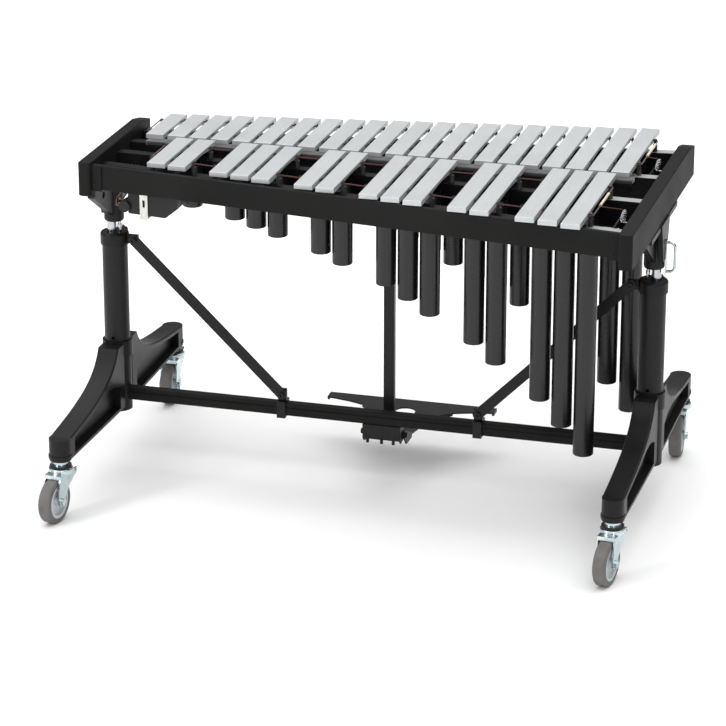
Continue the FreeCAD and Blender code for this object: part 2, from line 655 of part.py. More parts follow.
def post_bracket(side):
    """Casting between the posts and the end block above them."""
    x = COLUMN_X[side]
    out = -INBOARD[side]
    front, back = STAND_Y - BRACKET_REACH, STAND_Y + BRACKET_REACH
    socket = column_rod(side, SOCKET_BOTTOM, BLOCK_BOTTOM, SOCKET_R)
    socket = rounded(socket, 6.0, lambda e: at_height(e, SOCKET_BOTTOM))
    web = [(front, BLOCK_BOTTOM), (back, BLOCK_BOTTOM), (back, PLATE_BOTTOM - 4)]
    web += [(STAND_Y + 24, 650), (STAND_Y - 24, 650), (front, PLATE_BOTTOM - 4)]
    web = side_plate(web, x - 8, x + 8)
    for way in (-1, 1):
        y = STAND_Y + way * 92.0
        web = web.cut(rod((x - 9, y, 723), (x + 9, y, 723), 9.0))
    x0, x1 = sorted((x - out * 12.0, x + out * 23.0))
    plate = block(x0, x1, front, back, PLATE_BOTTOM, BLOCK_BOTTOM)
    x0, x1 = sorted((x + out * 14.0, x + out * CHEEK_SHIFT))
    cheek = [(STAND_Y - 50, BLOCK_BOTTOM), (STAND_Y + 50, BLOCK_BOTTOM)]
    cheek += [(STAND_Y + 20, 652), (STAND_Y - 20, 652)]
    whole = fused([socket, web, plate, side_plate(cheek, x0, x1)])
    whole = whole.cut(column_rod(side, SOCKET_BOTTOM - 1, POST_TOP, MAIN_POST_R, MAIN_POST_SHIFT))
    whole = whole.cut(column_rod(side, SOCKET_BOTTOM - 1, GUIDE_TOP, GUIDE_R, GUIDE_SHIFT))
    if side == "right":
        whole = whole.cut(rod((x + 10, STAND_Y, 660), (x + 30, STAND_Y, 660), 4.0 + RUNNING_GAP))
    return whole


def lock_handle():
    """Wire loop on a sprung locking pin, at the low-note end."""
    x, y = COLUMN_X["right"] + CHEEK_SHIFT, STAND_Y
    z0, z1, reach, bend, wire = 624.0, 696.0, 24.0, 12.0, 3.5
    path = [
        Part.LineSegment(V(x + 3, y, z0), V(x + reach - bend, y, z0)),
        Part.Arc(V(x + reach - bend, y, z0), V(x + reach - bend * (1 - math.sqrt(0.5)), y,
                 z0 + bend * (1 - math.sqrt(0.5))), V(x + reach, y, z0 + bend)),
        Part.LineSegment(V(x + reach, y, z0 + bend), V(x + reach, y, z1 - bend)),
        Part.Arc(V(x + reach, y, z1 - bend), V(x + reach - bend * (1 - math.sqrt(0.5)), y,
                 z1 - bend * (1 - math.sqrt(0.5))), V(x + reach - bend, y, z1)),
        Part.LineSegment(V(x + reach - bend, y, z1), V(x + 3, y, z1)),
    ]
    wire_path = Part.Wire([piece.toShape() for piece in path])
    profile = Part.Wire(Part.makeCircle(wire, V(x + 3, y, z0), V(1, 0, 0)))
    loop = wire_path.makePipeShell([profile], True, True)
    plate = block(x + 0.5, x + 4.5, y - 6, y + 6, z0 - 6, z1 + 6)
    pin = rod((x - 6, y, 660), (x + 1, y, 660), 4.0)
    return fused([plate, loop, pin])


def height_knob(side):
    """Lobed clamp knob on a threaded stud, behind the collar."""
    x, y, z = COLUMN_X[side], STAND_Y, 584.0
    stud = rod((x, y + 34, z), (x, y + 44, z), 4.0)
    grip = rod((x, y + 43, z), (x, y + 60, z), 15.0)
    lobes = []
    for step in range(6):
        angle = step * math.pi / 3
        px, pz = x + 17.5 * math.cos(angle), z + 17.5 * math.sin(angle)
        lobes.append(rod((px, y + 42, pz), (px, y + 61, pz), 4.5))
    for lobe in lobes:
        grip = grip.cut(lobe)
    return fused([stud, grip])


def stretcher_beam():
    x0, x1 = COLUMN_X["left"] + 24.0, COLUMN_X["right"] - 24.0
    beam = beam_block(x0, x1)
    for side in (-1, 1):
        y = STAND_Y + side * BEAM_D / 2
        beam = beam.cut(block(x0, x1, y - 2.0, y + 2.0, BEAM_Z + 4.0, BEAM_Z + 7.5))
    corners = [e for e in beam.Edges if e.Length > 500]
    corners = [e for e in corners if abs(abs(e.Vertexes[0].Point.z - BEAM_Z) - BEAM_H / 2) < 0.1]
    return beam.makeFillet(5.0, corners)


def brace(side):
    """Flat steel strut from the collar's tab to the clamp on the beam."""
    top_x, top_z = column_place(side, 54), 584.0
    foot_x, foot_z = CLAMP_X[side], BEAM_Z + BEAM_H / 2 + 22.0
    y0, y1 = STAND_Y - 13.0, STAND_Y - 7.0
    run = V(foot_x - top_x, 0, foot_z - top_z)
    across = V(-run.z, 0, run.x).normalize() * 13.0
    ends = (V(top_x, y0, top_z), V(foot_x, y0, foot_z))
    corners = [ends[0] + across, ends[1] + across, ends[1] - across, ends[0] - across]
    strip = Part.Face(Part.makePolygon(corners + corners[:1])).extrude(V(0, y1 - y0, 0))
    pieces = [strip] + [rod((e.x, y0, e.z), (e.x, y1, e.z), 13.0) for e in ends]
    whole = fused(pieces)
    for end in ends:
        whole = whole.cut(rod((end.x, y0 - 1, end.z), (end.x, y1 + 1, end.z), 4.0))
    return whole


def brace_clamp(side):
    """Saddle round the beam, with the ear that the brace is bolted to."""
    x = CLAMP_X[side]
    y0, y1 = STAND_Y - BEAM_D / 2, STAND_Y + BEAM_D / 2
    z0, z1 = BEAM_Z - BEAM_H / 2, BEAM_Z + BEAM_H / 2
    outer = block(x - 11, x + 11, y0 - 5, y1 + 5, z0 - 5, z1 + 5)
    ear = block(x - 11, x + 11, STAND_Y - 6, STAND_Y + 2, z1 + 2, z1 + 36)
    whole = fused([outer, ear]).cut(block(x - 12, x + 12, y0, y1, z0, z1))
    return whole.cut(rod((x, STAND_Y - 8, z1 + 22), (x, STAND_Y + 4, z1 + 22), 4.0))


def cap_bolt(x, y, z, length):
    """Socket-head bolt lying along Y with its head towards the front."""
    head = rod((x, y - 6.0, z), (x, y, z), 7.5)
    head = head.cut(rod((x, y - 6.5, z), (x, y - 2.5, z), 3.2))
    return fused([head, rod((x, y, z), (x, y + length, z), 4.0)])


def stand_bolts():
    bolts = []
    for side in ("left", "right"):
        bolts.append(cap_bolt(column_place(side, 54), STAND_Y - 13.0, 584.0, 24.0))
        bolts.append(cap_bolt(CLAMP_X[side], STAND_Y - 13.0, BEAM_Z + BEAM_H / 2 + 22.0, 20.0))
    return bolts


# ---- casters --------------------------------------------------------------------------------
def caster_places():
    for side in ("left", "right"):
        for end, way in (("front", -1), ("rear", 1)):
            yield side, end, COLUMN_X[side], STAND_Y + way * CASTER_Y


def caster_stem(x, y):
    stem = rod((x, y, 126), (x, y, ARM_BOTTOM + 38), 6.0)
    flange = rod((x, y, 139.5), (x, y, ARM_BOTTOM - 2), 19.0)
    return fused([stem, flange])


def placed(shape, x, y, end):
    shape = shape.copy()
    shape.rotate(V(0, 0, 0), V(0, 0, 1), SWIVEL_ANGLE[end])
    shape.translate(V(x, y, 0))
    return shape


def caster_fork():
    """Pressed fork with its ball race and axle bolt; the swivel axis is at the origin."""
    race = rod((0, 0, 119), (0, 0, 131), 30.0)
    race = rounded(race, 3.0, lambda e: at_height(e, 131))
    ring = rod((0, 0, 131), (0, 0, 139), 25.0)
    inner = WHEEL_W / 2 + 3.0
    outer = inner + 3.5
    cheek = [(-TRAIL - 13, WHEEL_R), (-TRAIL - 9, WHEEL_R - 10), (-TRAIL + 9, WHEEL_R - 10)]
    cheek += [(-TRAIL + 17, WHEEL_R + 6), (2, 88), (32, 106), (38, 109), (38, 121), (-38, 121), (-45, 108)]
    cheek += [(-TRAIL - 15, WHEEL_R + 12)]
    saddle = side_plate([(-38, 113), (26, 113), (26, 121), (-36, 121)], -outer, outer)
    cheeks = [side_plate(cheek, -outer, -inner), side_plate(cheek, inner, outer)]
    lip = block(-outer, outer, -42, -37, 111.5, 121)
    fork = fused([race, ring, saddle, lip] + cheeks)
    fork = fork.cut(rod((0, 0, 125), (0, 0, 140), 6.0 + RUNNING_GAP))
    reach = outer + 1
    fork = fork.cut(rod((-reach, LEVER_Y, LEVER_Z), (reach, LEVER_Y, LEVER_Z), 2.5 + RUNNING_GAP))
    axle = rod((-outer - 3, -TRAIL, WHEEL_R), (outer + 5, -TRAIL, WHEEL_R), AXLE_R)
    heads = [rod((-outer - 5, -TRAIL, WHEEL_R), (-outer, -TRAIL, WHEEL_R), 9.0)]
    heads.append(rod((outer, -TRAIL, WHEEL_R), (outer + 6, -TRAIL, WHEEL_R), 9.0))
    return fused([fork, axle] + heads)


def caster_tyre():
    half = WHEEL_W / 2
    tyre = rod((-half, -TRAIL, WHEEL_R), (half, -TRAIL, WHEEL_R), WHEEL_R)
    tyre = tyre.makeFillet(7.0, [e for e in tyre.Edges if e.Length > 300 and len(e.Vertexes) == 1])
    return tyre.cut(rod((-half, -TRAIL, WHEEL_R), (half, -TRAIL, WHEEL_R), TREAD_IN_R))


def caster_hub():
    half = WHEEL_W / 2
    hub = rod((-half + 1, -TRAIL, WHEEL_R), (half - 1, -TRAIL, WHEEL_R), TREAD_IN_R)
    for side in (-1, 1):
        a, b = sorted((side * (half - 8), side * (half + 1)))
        dish = rod((a, -TRAIL, WHEEL_R), (b, -TRAIL, WHEEL_R), TREAD_IN_R - 7)
        boss = rod((a, -TRAIL, WHEEL_R), (b, -TRAIL, WHEEL_R), 13.0)
        hub = hub.cut(dish.cut(boss))
        a, b = sorted((side * (half - 2), side * (half + 1.5)))
        hub = fused([hub, rod((a, -TRAIL, WHEEL_R), (b, -TRAIL, WHEEL_R), 11.0)])
    return hub.cut(rod((-half - 3, -TRAIL, WHEEL_R), (half + 3, -TRAIL, WHEEL_R), AXLE_R + RUNNING_GAP))


def brake_lever():
    """Foot lever that pivots on the fork, behind the swivel."""
    barrel = rod((-18, LEVER_Y, LEVER_Z), (18, LEVER_Y, LEVER_Z), 4.0)
    pin = rod((-22.5, LEVER_Y, LEVER_Z), (22.5, LEVER_Y, LEVER_Z), 2.5)
    tread = side_plate([(33, 118), (60, 125), (61, 122), (35, 113)], -15, 15)
    return fused([barrel, pin, tread])


# ---- pedal and damper -----------------------------------------------------------------------
def across_pedal(y, z, half, radius):
    """Cylinder along X, centred on the pedal."""
    return rod((PEDAL_X - half, y, z), (PEDAL_X + half, y, z), radius)


def pedal_outline():
    """Crescent with a tongue in its middle that reaches the hinge."""
    half = [(34, 40), (46, 60), (58, 120), (72, 180), (92, 214), (122, 240), (160, 254), (221, 268)]
    half += [(221, 300)]
    right = [(PEDAL_X + x, y) for x, y in half]
    return right + [(PEDAL_X - x, y) for x, y in reversed(half)]


def pedal_plate():
    """Wide foot plate with a downturned rim, hinged under the beam."""
    outline = pedal_outline()
    under = PEDAL_TOP - PEDAL_T
    skin = plan_plate(outline, under, PEDAL_TOP)
    rim = plan_plate(outline, PEDAL_TOP - PEDAL_RIM, under)
    middle = V(PEDAL_X, 170, 0)
    inset = []
    for x, y in outline:
        away = V(x, y, 0) - middle
        shorter = middle + away * ((away.Length - 6.0) / away.Length)
        inset.append((shorter.x, shorter.y))
    rim = rim.cut(plan_plate(inset, PEDAL_TOP - PEDAL_RIM - 1, under))
    window = [(PEDAL_X - 24, 92), (PEDAL_X + 24, 92), (PEDAL_X + 26, 220), (PEDAL_X - 26, 220)]
    window = plan_plate(window, 80, 130).fuse(rod((PEDAL_X, 220, 80), (PEDAL_X, 220, 130), 26.0))
    plate = fused([skin, rim]).cut(window)
    ear = [(HINGE_Y - 9, HINGE_Z - 6), (HINGE_Y - 6, HINGE_Z + 9), (HINGE_Y + 8, HINGE_Z + 9)]
    ear += [(HINGE_Y + 60, PEDAL_TOP), (HINGE_Y + 60, 100), (HINGE_Y + 10, 100)]
    pieces = [plate, block(PEDAL_X - 55, PEDAL_X + 55, HINGE_Y + 22, HINGE_Y + 60, under, PEDAL_TOP)]
    for x in (PEDAL_X - 55, PEDAL_X + 51):
        pieces.append(side_plate(ear, x, x + 4))
    for x in (PEDAL_X - 19, PEDAL_X + 15.5):
        pieces.append(block(x, x + 3.5, ROD_Y - 8, ROD_Y + 8, PEDAL_TOP - 1, CLEVIS_Z + 8))
    whole = fused(pieces)
    whole = whole.cut(across_pedal(ROD_Y, CLEVIS_Z, 22, 4.3))
    return whole.cut(across_pedal(HINGE_Y, HINGE_Z, 60, HINGE_R + RUNNING_GAP))


def pedal_bracket():
    """Channel under the beam that holds the pedal's hinge pin and its stop screws."""
    top_z, half = BEAM_Z - BEAM_H / 2, 49.0
    front, back = STAND_Y - 15, STAND_Y + 15
    cheek = [(front, top_z), (back, top_z), (HINGE_Y + 9, HINGE_Z + 4), (HINGE_Y + 7, HINGE_Z - 9)]
    cheek += [(STAND_Y - 8, HINGE_Z - 16), (front, HINGE_Z)]
    pieces = [block(PEDAL_X - half, PEDAL_X + half, front, back, top_z - 5, top_z)]
    pieces.append(block(PEDAL_X - half, PEDAL_X + half, front, front + 4, HINGE_Z - 8, top_z))
    for x in (PEDAL_X - half, PEDAL_X + half - 4):
        pieces.append(side_plate(cheek, x, x + 4))
    for x in (PEDAL_X - 36, PEDAL_X, PEDAL_X + 30):
        pieces.append(rod((x, front + 2, HINGE_Z - 18), (x, front + 2, HINGE_Z - 4), 4.0))
    return fused(pieces).cut(across_pedal(HINGE_Y, HINGE_Z, 52, HINGE_R))


def pedal_pin():
    pieces = [across_pedal(HINGE_Y, HINGE_Z, 57, HINGE_R)]
    for x in (PEDAL_X - 60, PEDAL_X + 56):
        pieces.append(rod((x, HINGE_Y, HINGE_Z), (x + 4, HINGE_Y, HINGE_Z), 7.0))
    return fused(pieces)


def lower_rod():
    """Channel that the pedal pulls; the upper rod slides in it when the height changes."""
    outer = block(PEDAL_X - 13.5, PEDAL_X + 13.5, ROD_Y - 7, ROD_Y + 7, 122, 700)
    inside = block(PEDAL_X - 10.4, PEDAL_X + 10.4, ROD_Y - 3.5, ROD_Y + 3.5, 400, 700)
    return fused([outer, across_pedal(ROD_Y, CLEVIS_Z, 21, 3.0)]).cut(inside)


def upper_rod():
    return block(PEDAL_X - 10, PEDAL_X + 10, ROD_Y - 3, ROD_Y + 3, 520, DAMPER_BOTTOM)


def damper_bar():
    """Hollow bar under the bars' inner ends, with a groove along its front."""
    x0, x1 = DAMPER_X
    y0, y1 = ROD_Y - DAMPER_W / 2, ROD_Y + DAMPER_W / 2
    tube = block(x0, x1, y0, y1, DAMPER_BOTTOM, DAMPER_TOP)
    tube = tube.cut(block(x0, x1, y0 + 3, y1 - 3, DAMPER_BOTTOM + 6, DAMPER_TOP - 3))
    return tube.cut(block(x0, x1, y0 - 1, y0 + 1.2, DAMPER_BOTTOM + 7, DAMPER_BOTTOM + 11))


def damper_felt():
    y0, y1 = ROD_Y - DAMPER_W / 2, ROD_Y + DAMPER_W / 2
    felt = block(DAMPER_X[0], DAMPER_X[1], y0 + 0.5, y1 - 0.5, DAMPER_TOP, FELT_TOP)
    return rounded(felt, 3.0, lambda e: e.Length > 500 and at_height(e, FELT_TOP))


# ---- write every sub-part -------------------------------------------------------------------
os.makedirs("parts", exist_ok=True)
SIDES = ("left", "right")
ROWS = ("natural", "accidental")

for row in ROWS:
    save(row + "_bars", bars(row))
    save(row + "_resonators", resonators(row))
    save(row + "_fan_shaft", fan_shaft(row))
    save(row + "_fan_pulley", fan_pulley(row))
deep_rear = bar_rail("natural", 1 - NODE, DEEP_RAIL_H)
save("outer_rails", [bar_rail("accidental", NODE), deep_rear])
inner = (("accidental", 1 - NODE), ("natural", NODE))
save("inner_rails", [bar_rail(row, share, DEEP_RAIL_H) for row, share in inner])
save("resonator_bank_frames", [bank_frame(row) for row in ROWS])
save("bar_posts", bar_posts())
save("bar_cords", [bar_cord(row) for row in ROWS])
save("cord_guards", [cord_guard(row) for row in ROWS])
save("cord_springs", [cord_spring(row) for row in ROWS])
save("left_end_block", end_block(LEFT_OUT, LEFT_IN, LEFT_FRONT, LEFT_BACK))
save("right_end_block", end_block(RIGHT_IN, RIGHT_OUT, RIGHT_FRONT, RIGHT_BACK))
save("front_fascia", fascia())
save("motor_housing", motor_housing())
save("power_inlet", power_inlet())
save("motor_bracket", motor_bracket())
save("motor_spindle", motor_spindle())
save("drive_belts", [drive_belt(row) for row in ROWS])
save("damper_bar", damper_bar())
save("damper_felt", damper_felt())
save("upper_damper_rod", upper_rod())
save("lower_damper_rod", lower_rod())
save("pedal_plate", pedal_plate())
save("pedal_bracket", pedal_bracket())
save("pedal_hinge_pin", pedal_pin())
save("stretcher_beam", stretcher_beam())
save("brace_clamps", [brace_clamp(side) for side in SIDES])
save("stand_bolts", stand_bolts())
save("outer_sleeves", [outer_sleeve(side) for side in SIDES])
save("sleeve_collars", [sleeve_collar(side) for side in SIDES])
save("inner_posts", [inner_post(side) for side in SIDES])
save("guide_rods", [guide_rod(side) for side in SIDES])
save("braces", [brace(side) for side in SIDES])
save("lock_handle", lock_handle())
for side in SIDES:
    save(side + "_leg_casting", leg_casting(side))
    save(side + "_post_bracket", post_bracket(side))
    save(side + "_height_knob", height_knob(side))
save("caster_stems", [caster_stem(x, y) for _, _, x, y in caster_places()])
for side, end, x, y in caster_places():
    name = "%s_%s_caster" % (side, end)
    save(name + "_fork", placed(caster_fork(), x, y, end))
    save(name + "_tyre", placed(caster_tyre(), x, y, end))
    save(name + "_hub", placed(caster_hub(), x, y, end))
    if end == "rear":
        save(name + "_brake", placed(brake_lever(), x, y, end))

low = [min(box[axis] for box in EXTENTS) for axis in (0, 2, 4)]
high = [max(box[axis] for box in EXTENTS) for axis in (1, 3, 5)]
print("nodes", len(EXTENTS), "low", low, "high", high)
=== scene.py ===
import json
import math

import bmesh
import bpy
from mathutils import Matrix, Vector, noise


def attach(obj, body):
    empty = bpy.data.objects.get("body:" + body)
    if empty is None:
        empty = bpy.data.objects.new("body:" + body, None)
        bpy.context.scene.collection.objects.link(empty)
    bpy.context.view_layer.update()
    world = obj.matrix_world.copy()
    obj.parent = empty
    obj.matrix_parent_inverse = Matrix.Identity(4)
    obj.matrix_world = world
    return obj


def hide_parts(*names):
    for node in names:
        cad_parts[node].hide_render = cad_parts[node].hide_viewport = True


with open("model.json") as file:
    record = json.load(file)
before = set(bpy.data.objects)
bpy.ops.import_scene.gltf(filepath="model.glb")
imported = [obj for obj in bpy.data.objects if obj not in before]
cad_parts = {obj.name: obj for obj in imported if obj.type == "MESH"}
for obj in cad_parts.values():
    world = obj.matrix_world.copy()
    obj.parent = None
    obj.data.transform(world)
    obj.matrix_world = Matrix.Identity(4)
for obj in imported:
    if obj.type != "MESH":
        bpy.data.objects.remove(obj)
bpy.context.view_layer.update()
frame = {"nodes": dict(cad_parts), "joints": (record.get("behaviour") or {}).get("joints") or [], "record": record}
NODES = frame["nodes"]
RECORD = frame["record"]

# ---- driving values, in metres ---------------------------------------------------------
CAMERA_AT = (2.020, -7.289, 3.140)
CAMERA_YAW, CAMERA_PITCH = 0.2757, 0.3564
CAMERA_LENS, SENSOR = 162.2, 36.0

MM = 0.001
MIDDLE = (14.75, -10.23)                   # design point, in millimetres, that lies at the origin
FLOOR_HALF = 120.0
PAINTED_REFLECTION_FROM = 0.56                           # where the painted reflection on the rails' tops begins, along X
SKY_POWER = 2.5

SPRING_ENDS = {
    "accidental": ((657.0, -244.0), (648.0, -150.0)),
    "natural": ((657.0, 176.0), (648.0, 271.0)),
}
SPRING_Z, COIL_R, WIRE_R, COIL_TURNS = 818.0, 6.0, 1.4, 6.0
COIL_LEAD = 7.0                            # straight wire before the first and after the last turn
COIL_STEPS = 16                            # points in one turn
HOOK_SHIFT, BLOCK_FACE_X = 1.5, 676.5      # the hook's offset along Y, and the face it reaches
FELT_X, FELT_Y, FELT_Z = (-604.0, 622.0), (48.4, 83.6), (818.0, 827.6)
FELT_EDGE, FELT_UNDER = 2.6, 0.6           # corner radii at the felt's top and underside
FELT_STEPS = 260
FASCIA_LINE = ((-664.0, -174.0), (677.0, -353.0))  # fascia's front, from left to right
PLATE_SCREW_X, PLATE_SCREW_Z = (-657.0, -645.0, 658.0, 670.0), (776.0, 812.0)
MOTOR_SCREW_X, MOTOR_SCREW_AT = (-520.0, -548.0), (-171.5, 757.0)
SCREW_R, SCREW_SIDES = 2.6, 14
SCREW_PROFILE = [(1.0, -0.2), (1.0, 0.25), (0.9, 0.62), (0.68, 0.9), (0.36, 1.0), (0.26, 0.55)]
SEAL_PROFILE = [(26.2, 131.2), (26.9, 132.4), (26.9, 137.4), (25.8, 138.6), (24.2, 138.8), (24.2, 131.4)]
SEAL_SIDES = 48
LIGHT_AIM = (0, 0, 0.6)
LIGHTS = [  # name, place, size, power
    ("key_softbox", (-3.6, -4.4, 2.4), (0.55, 3.2), 92.0),
    ("fill_softbox", (2.6, -5.6, 2.4), (0.45, 3.2), 46.0),
    ("rear_softbox", (-0.5, 5.0, 4.6), (4.0, 1.6), 40.0),
]


# ---- material kit ------------------------------------------------------------------------
class Shade:
    """A node material with one Principled shader and short calls for its texture nodes."""

    def __init__(self, name, colour, rough, metal=0.0, **sockets):
        self.material = bpy.data.materials.new(name)
        self.material.use_nodes = True
        self.material.diffuse_color = (*colour, 1.0)
        self.tree = self.material.node_tree
        self.shader = self.tree.nodes["Principled BSDF"]
        self.shader.inputs["Base Color"].default_value = (*colour, 1.0)
        self.shader.inputs["Roughness"].default_value = rough
        self.shader.inputs["Metallic"].default_value = metal
        for socket, value in sockets.items():
            self.shader.inputs[socket.replace("_", " ")].default_value = value
        self.height = None
        self.place = self.add("ShaderNodeTexCoord").outputs["Object"]

    def add(self, kind, **settings):
        node = self.tree.nodes.new(kind)
        for key, value in settings.items():
            setattr(node, key, value)
        return node

    def link(self, start, end):
        self.tree.links.new(start, end)

    def stretched(self, scale):
        """Object coordinates multiplied by a scale for each axis."""
        mapping = self.add("ShaderNodeMapping")
        mapping.inputs["Scale"].default_value = scale
        self.link(self.place, mapping.inputs["Vector"])
        return mapping.outputs["Vector"]

    def noise(self, scale, detail=3.0, stretch=(1.0, 1.0, 1.0)):
        texture = self.add("ShaderNodeTexNoise")
        texture.inputs["Scale"].default_value = scale
        texture.inputs["Detail"].default_value = detail
        self.link(self.stretched(stretch), texture.inputs["Vector"])
        return texture.outputs["Fac"]

    def cells(self, scale, stretch=(1.0, 1.0, 1.0)):
        texture = self.add("ShaderNodeTexVoronoi")
        texture.inputs["Scale"].default_value = scale
        self.link(self.stretched(stretch), texture.inputs["Vector"])
        return texture.outputs["Distance"]

    def remap(self, value, low, high, start=0.3, end=0.7):
        ranged = self.add("ShaderNodeMapRange")
        ranged.inputs["From Min"].default_value = start
        ranged.inputs["From Max"].default_value = end
        ranged.inputs["To Min"].default_value = low
        ranged.inputs["To Max"].default_value = high
        self.link(value, ranged.inputs["Value"])
        return ranged.outputs["Result"]

    def tint(self, value, dark, light, start=0.3, end=0.7):
        """Base colour between two shades, chosen by a texture value."""
        mix = self.add("ShaderNodeMix", data_type="RGBA")
        mix.inputs["A"].default_value = (*dark, 1.0)
        mix.inputs["B"].default_value = (*light, 1.0)
        self.link(self.remap(value, 0.0, 1.0, start, end), mix.inputs["Factor"])
        self.link(mix.outputs["Result"], self.shader.inputs["Base Color"])
        return self

    def gloss(self, value, low, high, start=0.3, end=0.7):
        self.link(self.remap(value, low, high, start, end), self.shader.inputs["Roughness"])
        return self

    def relief(self, value, strength, distance):
        bump = self.add("ShaderNodeBump")
        bump.inputs["Strength"].default_value = strength
        bump.inputs["Distance"].default_value = distance
        self.link(value, bump.inputs["Height"])
        if self.height is not None:
            self.link(self.height, bump.inputs["Normal"])
        self.height = bump.outputs["Normal"]
        self.link(self.height, self.shader.inputs["Normal"])
        return self


def scaled(colour, factor):
    return tuple(min(1.0, channel * factor) for channel in colour)


# ---- materials ---------------------------------------------------------------------------
def bar_aluminium():
    shade = Shade("bar_aluminium", (0.50, 0.515, 0.52), 0.42, metal=0.35)
    grain = shade.noise(60.0, 4.0, (14.0, 0.35, 14.0))
    cloud = shade.noise(9.0, 3.0)
    shade.tint(grain, (0.46, 0.475, 0.48), (0.54, 0.555, 0.56))
    shade.gloss(cloud, 0.38, 0.46)
    return shade.relief(grain, 0.10, 0.00012)


def black_paint():
    colour = (0.0075, 0.0075, 0.0078)
    shade = Shade("black_paint", colour, 0.36, Specular_IOR_Level=0.24)
    fine = shade.noise(1400.0, 2.0)
    cloud = shade.noise(14.0, 4.0)
    shade.tint(cloud, scaled(colour, 0.85), scaled(colour, 1.3))
    shade.gloss(cloud, 0.36, 0.46)
    return shade.relief(fine, 0.22, 0.00010)


def resonator_black():
    colour = (0.0060, 0.0062, 0.0064)
    shade = Shade("resonator_black", colour, 0.26, Specular_IOR_Level=0.42)
    drawn = shade.noise(30.0, 4.0, (26.0, 26.0, 0.3))
    cloud = shade.noise(12.0, 3.0)
    shade.tint(drawn, scaled(colour, 0.8), scaled(colour, 1.35))
    shade.gloss(cloud, 0.23, 0.31)
    return shade.relief(drawn, 0.08, 0.00008)


def rail_aluminium():
    """Black anodised, with a painted reflection: the top faces turn light grey past a point along X."""
    shade = Shade("rail_aluminium", (0.30, 0.30, 0.30), 0.48, metal=0.3, Specular_IOR_Level=0.12)
    drawn = shade.noise(40.0, 3.0, (0.3, 18.0, 18.0))
    coordinates = shade.add("ShaderNodeTexCoord")
    facing, place = shade.add("ShaderNodeSeparateXYZ"), shade.add("ShaderNodeSeparateXYZ")
    shade.link(coordinates.outputs["Normal"], facing.inputs["Vector"])
    shade.link(coordinates.outputs["Object"], place.inputs["Vector"])
    # painted reflection: upward faces past a point along X are tinted light grey in place of the lights' sheen
    painted_reflection_mask = shade.add("ShaderNodeMath", operation="MULTIPLY")
    shade.link(shade.remap(facing.outputs["Z"], 0.0, 1.0, 0.80, 0.98), painted_reflection_mask.inputs[0])
    shade.link(shade.remap(place.outputs["X"], 0.0, 1.0, PAINTED_REFLECTION_FROM, PAINTED_REFLECTION_FROM + 0.02), painted_reflection_mask.inputs[1])
    shade.tint(painted_reflection_mask.outputs["Value"], (0.010, 0.010, 0.010), (0.36, 0.37, 0.37), 0.0, 1.0)
    shade.gloss(drawn, 0.42, 0.56)
    return shade.relief(drawn, 0.1, 0.0001)


def chrome():
    shade = Shade("chrome", (0.44, 0.46, 0.48), 0.16, metal=1.0)
    haze = shade.noise(22.0, 4.0)
    shade.tint(haze, (0.38, 0.40, 0.42), (0.50, 0.53, 0.55))
    return shade.gloss(haze, 0.13, 0.22)


def pale_sleeve():
    colour = (0.72, 0.66, 0.52)
    shade = Shade("pale_sleeve", colour, 0.42)
    cloud = shade.noise(90.0, 3.0)
    shade.tint(cloud, scaled(colour, 0.88), scaled(colour, 1.1))
    return shade.gloss(cloud, 0.36, 0.50)


def zinc_steel():
    shade = Shade("zinc_steel", (0.56, 0.64, 0.66), 0.28, metal=1.0)
    spangle = shade.cells(240.0)
    haze = shade.noise(30.0, 5.0)
    shade.tint(haze, (0.42, 0.52, 0.56), (0.66, 0.73, 0.73))
    shade.gloss(haze, 0.20, 0.34)
    return shade.relief(spangle, 0.05, 0.00008)


def black_steel():
    colour = (0.0080, 0.0080, 0.0084)
    shade = Shade("black_steel", colour, 0.36, Specular_IOR_Level=0.22)
    haze = shade.noise(45.0, 4.0)
    shade.tint(haze, scaled(colour, 0.75), scaled(colour, 1.5))
    shade.gloss(haze, 0.30, 0.44)
    return shade.relief(shade.noise(900.0, 2.0), 0.12, 0.00008)


def grey_rubber():
    colour = (0.125, 0.118, 0.112)
    shade = Shade("grey_rubber", colour, 0.62)
    dust = shade.noise(35.0, 5.0)
    shade.tint(dust, scaled(colour, 0.82), scaled(colour, 1.2))
    shade.gloss(dust, 0.56, 0.72)
    return shade.relief(shade.noise(700.0, 3.0), 0.25, 0.00012)


def hub_plastic():
    colour = (0.50, 0.54, 0.56)
    shade = Shade("hub_plastic", colour, 0.38)
    cloud = shade.noise(28.0, 3.0)
    shade.tint(cloud, scaled(colour, 0.92), scaled(colour, 1.06))
    shade.gloss(cloud, 0.34, 0.44)
    return shade.relief(shade.noise(1100.0, 2.0), 0.08, 0.00006)


def black_plastic():
    colour = (0.0075, 0.0075, 0.0080)
    shade = Shade("black_plastic", colour, 0.45, Specular_IOR_Level=0.32)
    shade.tint(shade.noise(20.0), scaled(colour, 0.85), scaled(colour, 1.3))
    shade.gloss(shade.noise(60.0), 0.42, 0.55)
    return shade.relief(shade.cells(1600.0), 0.3, 0.00010)


def brown_cord():
    colour = (0.060, 0.010, 0.006)
    shade = Shade("brown_cord", colour, 0.75, Sheen_Weight=0.3)
    braid = shade.cells(900.0, (1.0, 1.6, 1.6))
    shade.tint(braid, scaled(colour, 0.55), scaled(colour, 1.4), 0.1, 0.6)
    return shade.relief(braid, 0.8, 0.0004)


def spring_steel():
    shade = Shade("spring_steel", (0.36, 0.365, 0.37), 0.26, metal=1.0)
    haze = shade.noise(160.0, 4.0)
    shade.tint(haze, (0.28, 0.285, 0.29), (0.44, 0.45, 0.46))
    return shade.gloss(haze, 0.18, 0.32)


def post_metal():
    shade = Shade("post_metal", (0.07, 0.07, 0.07), 0.42, metal=0.4)
    haze = shade.noise(120.0, 4.0)
    shade.tint(haze, (0.04, 0.04, 0.04), (0.09, 0.09, 0.088))
    return shade.gloss(haze, 0.36, 0.50)


